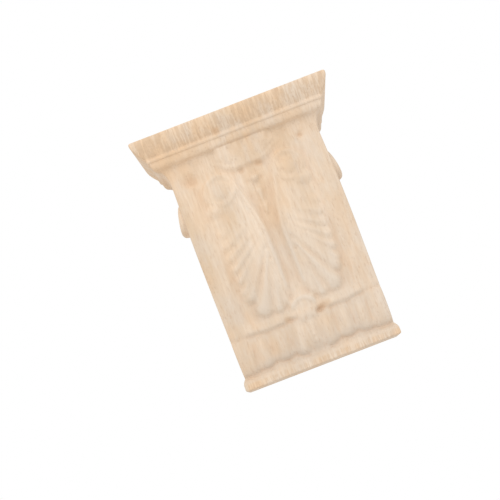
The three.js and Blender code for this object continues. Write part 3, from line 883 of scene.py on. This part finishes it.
# %% Socket maths
class Wire:
    def __init__(self, tree, socket):
        self.tree = tree
        self.socket = socket

    @classmethod
    def node(cls, tree, kind, settings=None, sockets=None, out=0):
        made = tree.nodes.new(kind)
        for name, value in (settings or {}).items():
            setattr(made, name, value)
        for name, value in (sockets or {}).items():
            if isinstance(value, cls):
                tree.links.new(value.socket, made.inputs[name])
            else:
                made.inputs[name].default_value = value
        return cls(tree, made.outputs[out])

    def math(self, operation, *values):
        return Wire.node(self.tree, "ShaderNodeMath", {"operation": operation}, dict(enumerate(values)))

    def __add__(self, other):
        return self.math("ADD", self, other)

    def __sub__(self, other):
        return self.math("SUBTRACT", self, other)

    def __rsub__(self, other):
        return self.math("SUBTRACT", other, self)

    def __mul__(self, other):
        return self.math("MULTIPLY", self, other)

    def __neg__(self):
        return self * -1

    def __abs__(self):
        return self.math("ABSOLUTE", self)

    __radd__ = __add__
    __rmul__ = __mul__

    def eased(self, low, high):
        settings = {"interpolation_type": "SMOOTHSTEP"}
        sockets = {"Value": self, "From Min": low, "From Max": high}
        return Wire.node(self.tree, "ShaderNodeMapRange", settings, sockets)


# %% [markdown]
# ## Raw wood
# The wood is pale and unfinished, close to lime or rubberwood. Its grain runs up the block, so every
# pattern is stretched along z, by scaling z down before the noise is looked up. Three masks say how
# the block was cut: its sides, its end grain at the top and the bottom, and its sawn back.

# %% Colour and noise helpers
def linear(red, green, blue):
    def one(value):
        value /= 255
        return value / 12.92 if value <= 0.04045 else ((value + 0.055) / 1.055) ** 2.4

    return (one(red), one(green), one(blue), 1)


def blend(tree, amount, first, second):
    sockets = {0: amount, 6: first, 7: second}
    return Wire.node(tree, "ShaderNodeMix", {"data_type": "RGBA"}, sockets, out=2)


def noise(tree, where, scale, detail=2.0, roughness=0.5, distortion=0.0):
    sockets = {"Vector": where, "Scale": scale, "Detail": detail, "Roughness": roughness}
    sockets["Distortion"] = distortion
    return Wire.node(tree, "ShaderNodeTexNoise", {}, sockets)


# %% Places and directions in the block
wood = bpy.data.materials.new("raw_wood")
wood.use_nodes = True
tree = wood.node_tree
tree.nodes.clear()
place = Wire.node(tree, "ShaderNodeTexCoord", out="Object")
normal = Wire.node(tree, "ShaderNodeTexCoord", out="Normal")


def along(vector, axis):
    return Wire.node(tree, "ShaderNodeSeparateXYZ", {}, {"Vector": vector}, out=axis)


def stretched(x, y, z, tilt=0.0):
    sockets = {"Vector": place, "Scale": (x, y, z), "Rotation": (0.0, math.radians(tilt), 0.0)}
    return Wire.node(tree, "ShaderNodeMapping", {"vector_type": "POINT"}, sockets)


on_side = abs(along(normal, "X")).eased(0.45, 0.8)
on_end = abs(along(normal, "Z")).eased(0.75, 0.95)
on_back = along(normal, "Y").eased(0.8, 0.95)

# %% [markdown]
# The grain itself is broad bands of tone, fine fibres, short streaks, dark pores and soft patches.
# The streaks are looked up with the depth squeezed on the front and the width squeezed on the sides,
# or a sloping face would cut them into worms. On end grain they turn into a speckle.

# %% Grain
bands = noise(tree, stretched(1, 1, 0.12, tilt=2.5), 70, detail=3, roughness=0.55, distortion=0.6)
fibres = noise(tree, stretched(1, 1, 0.03, tilt=1.5), 900, detail=3, roughness=0.6)
pores = noise(tree, stretched(1, 1, 0.09), 1500, detail=1, roughness=0.4).eased(0.63, 0.72)
cloud = noise(tree, stretched(1, 1, 0.5), 28, detail=2)
tints = noise(tree, stretched(1, 1, 0.45), 110, detail=3, roughness=0.6)
blotches = noise(tree, stretched(1, 1, 0.4), 85, detail=2).eased(0.52, 0.68)
fuzz = noise(tree, stretched(1, 1, 0.6), 1000, detail=2, roughness=0.6)

# %% Streaks
front_streaks = noise(tree, stretched(1, 0.2, 0.12), 1050, detail=2, roughness=0.6)
side_streaks = noise(tree, stretched(0.2, 1, 0.12), 1050, detail=2, roughness=0.6)
speckle = noise(tree, stretched(1, 1, 0.1), 1400, detail=2, roughness=0.6)
streaks = front_streaks * (1 - on_side) + side_streaks * on_side
streaks = streaks * (1 - on_end) + speckle * on_end

# %% [markdown]
# The tone also depends on the place. The upper part is warmer. The lower part is painted greyer and
# darker, as painted shade, and the middle of the palmette is painted greyer and darker as painted shade
# too. On the straight faces of the cap and the foot, and on the back, the streaks are strongest,
# because no gouge smoothed them.

# %% Masks by place
FASCIA_FOOT = HEIGHT / 2 - BEAD_TOP
FOOT_FACE = HEIGHT / 2 - FOOT_EDGE
SAWN_BACK = 0.45
up = along(place, "Z")


def above(start, end):
    return up.eased(start * MM, end * MM)


def below(start, end):
    return (-up).eased(start * MM, end * MM)


sawn = above(FASCIA_FOOT - 0.6, FASCIA_FOOT + 0.4) + below(FOOT_FACE - 0.7, FOOT_FACE + 0.3)
sawn = sawn * (1 - on_back) + SAWN_BACK * on_back
high_up = above(20, 60)
# Painted shade: the lower part of the block is painted greyer and darker.
lower_shade = below(-10, 60)
to_right = along(place, "X").eased(12 * MM, 40 * MM)
# Painted shade: the middle of the palmette is painted greyer and darker.
on_leaf = below(-15, 10) * (1 - below(34, 38))
leaf_shade = on_leaf * (1 - abs(along(place, "X")).eased(18 * MM, 26 * MM))

# %% Marks kept on the mesh
def kept(name):
    return Wire.node(tree, "ShaderNodeAttribute", {"attribute_name": name}, out="Fac")


# The first two marks carry painted shade: at the roll's foot and under its seam, and in the small
# carved hollows, with one real stain on the fascia.
roll_shaded, stained_and_shaded, hollowed = kept("roll_shade"), kept("stain_and_hole_shade"), kept("hollow")
# Painted shade in the hollows: the deeper a place lies, the more of the shadow colour it gets.
hollow_shade = hollowed.eased(0.58, 1.0)
rubbed = (1 - hollowed).eased(0.55, 0.95)

# %% [markdown]
# The colour is built in layers, as a painter would glaze them. Each layer is a colour and how much of
# it shows at each place. The last ones are painted shade at the roll, pores, painted shade in the
# hollows, stains with painted shade in the small hollows, rubbed ridges and painted shade on the middle
# of the leaf.

# %% Colours of the wood
pale = linear(232, 212, 190)
tan = linear(213, 189, 162)
warm = linear(225, 190, 153)
grey = linear(214, 202, 189)
cool = linear(226, 212, 197)
fibre = linear(208, 179, 148)
bright = linear(242, 219, 189)
shade_grey = linear(204, 188, 171)
shadow = linear(201, 168, 138)
amber = linear(205, 162, 120)
leaf_shade_grey = linear(216, 203, 188)

# %% Layers
layers = [
    (fibres.eased(0.45, 0.75) * 0.35, tan),
    (cloud.eased(0.5, 0.75) * 0.3, warm),
    (high_up * (0.25 + 0.5 * blotches), warm),
    # painted shade on the lower part
    (lower_shade * (0.25 + 0.3 * cloud), shade_grey),
    (to_right * 0.4, cool),
    (tints.eased(0.48, 0.66) * (0.3 + 0.4 * sawn), warm),
    ((1 - tints).eased(0.5, 0.68) * (0.35 + 0.05 * sawn), grey),
    (streaks.eased(0.4, 0.62) * (0.24 + 0.36 * sawn), fibre),
    ((1 - streaks).eased(0.48, 0.62) * (0.05 + 0.12 * sawn), bright),
    # painted shade at the roll's foot and under its seam
    (roll_shaded * 0.65, shade_grey),
    (pores * 0.3, shadow),
    # painted shade in the hollows
    (hollow_shade * 0.34, shadow),
    # a real stain on the fascia, and painted shade in the small carved hollows
    (stained_and_shaded * 0.55, amber),
    (rubbed * 0.15, pale),
    # painted shade on the middle of the leaf, stronger on its ridges
    (leaf_shade * (0.3 + 0.3 * rubbed), leaf_shade_grey),
]
wood_colour = blend(tree, bands.eased(0.3, 0.7), pale, tan)
for amount, colour in layers:
    wood_colour = blend(tree, amount, wood_colour, colour)

# %% [markdown]
# Raw wood is matt. Rubbed ridges shine a little more, and fibres and pores a little less. The same
# patterns feed the bump, so that grain which is seen can also be felt. One unit of its height is
# about a sixth of a millimetre, and all larger forms are real geometry.

# %% Roughness, bump and shader
GRAIN_DEPTH = 0.16 * MM
rough = 0.78 + 0.12 * fibres - 0.06 * rubbed + 0.08 * pores
tooth = fibres * 0.5 + bands * 0.3 + streaks * 0.6 + fuzz * 1.9 - pores * 0.8
bump_sockets = {"Strength": 0.6, "Distance": GRAIN_DEPTH, "Height": tooth}
bump = Wire.node(tree, "ShaderNodeBump", {}, bump_sockets)
surface = {"Base Color": wood_colour, "Roughness": rough, "Normal": bump, "Specular IOR Level": 0.25}
shader = Wire.node(tree, "ShaderNodeBsdfPrincipled", {}, surface)
output = tree.nodes.new("ShaderNodeOutputMaterial")
tree.links.new(shader.socket, output.inputs["Surface"])
bracket.data.materials.clear()
bracket.data.materials.append(wood)
print("nodes in the finish:", len(tree.nodes))

# %% [markdown]
# ## Camera
# The picture was taken from a little below and to the left, with the bracket leaning to the left in
# the frame. The camera's place and lens were worked out from the corners of the cap, the body and
# the foot. Turning the camera clockwise about its own view makes the bracket lean.

# %% Camera
EYE = Vector((-12.04, -441.99, -79.87)) * MM
AHEAD = Vector((-0.00346, 0.98265, 0.18546)).normalized()
CAMERA_TURN = math.radians(20.988)
LENS_MM, SENSOR_MM = 64.245, 36
level_up = (Vector((0, 0, 1)) - AHEAD * AHEAD.z).normalized()
level_right = AHEAD.cross(level_up)
camera_right = level_right * math.cos(CAMERA_TURN) - level_up * math.sin(CAMERA_TURN)
camera_up = level_right * math.sin(CAMERA_TURN) + level_up * math.cos(CAMERA_TURN)
facing = Matrix((camera_right, camera_up, -AHEAD)).transposed().to_4x4()
lens = bpy.data.cameras.new("camera")
lens.sensor_width = SENSOR_MM
lens.sensor_fit = "HORIZONTAL"
lens.lens = LENS_MM
camera = bpy.data.objects.new("camera", lens)
camera.matrix_world = Matrix.Translation(EYE) @ facing
bpy.context.scene.collection.objects.link(camera)
bpy.context.scene.camera = camera
print("camera", round(EYE.length / MM), "mm from the middle of the bracket's back")

# %% [markdown]
# ## Floor
# The floor is a wide pale table well below the bracket, so it adds only a mild bounce from underneath.
# It isn't part of the object.

# %% Floor
FLOOR_SIDE, FLOOR_FRONT, FLOOR_BACK, FLOOR_DROP = 2.5, 3.5, 0.85, 0.30
PAPER_WHITE, PAPER_ROUGHNESS = 0.8, 0.9
corners = [(-FLOOR_SIDE, -FLOOR_FRONT), (FLOOR_SIDE, -FLOOR_FRONT)]
corners += [(FLOOR_SIDE, FLOOR_BACK), (-FLOOR_SIDE, FLOOR_BACK)]
floor_mesh = bpy.data.meshes.new("floor")
floor_mesh.from_pydata([(x, y, -FLOOR_DROP) for x, y in corners], [], [(0, 1, 2, 3)])
floor = bpy.data.objects.new("floor", floor_mesh)
bpy.context.scene.collection.objects.link(floor)
paper = bpy.data.materials.new("pale_paper")
paper.use_nodes = True
paper_shader = paper.node_tree.nodes["Principled BSDF"]
paper_shader.inputs["Base Color"].default_value = (PAPER_WHITE, PAPER_WHITE, PAPER_WHITE, 1)
paper_shader.inputs["Roughness"].default_value = PAPER_ROUGHNESS
floor_mesh.materials.append(paper)

# %% [markdown]
# ## Light
# The studio is plain white all round, which gives a soft, even light from every side. One large lamp
# above and behind the camera is just strong enough to bring out the low carving.

# %% Lamp and sky
LAMP_PLACE = Vector((-0.1, -1.5, 1.0))
LAMP_AIM = Vector((0, -0.02, 0))
LAMP_SIZE, LAMP_POWER = 0.7, 8
lamp_data = bpy.data.lights.new("key_lamp", "AREA")
lamp_data.shape, lamp_data.size, lamp_data.energy = "DISK", LAMP_SIZE, LAMP_POWER
lamp = bpy.data.objects.new("key_lamp", lamp_data)
lamp.location = LAMP_PLACE
lamp.rotation_mode = "QUATERNION"
lamp.rotation_quaternion = (LAMP_AIM - LAMP_PLACE).to_track_quat("-Z", "Y")
bpy.context.scene.collection.objects.link(lamp)
world = bpy.data.worlds.new("studio")
world.use_nodes = True
world.node_tree.nodes["Background"].inputs["Color"].default_value = (1, 1, 1, 1)
world.node_tree.nodes["Background"].inputs["Strength"].default_value = 1.0
bpy.context.scene.world = world
bpy.context.scene.view_settings.view_transform = "Standard"
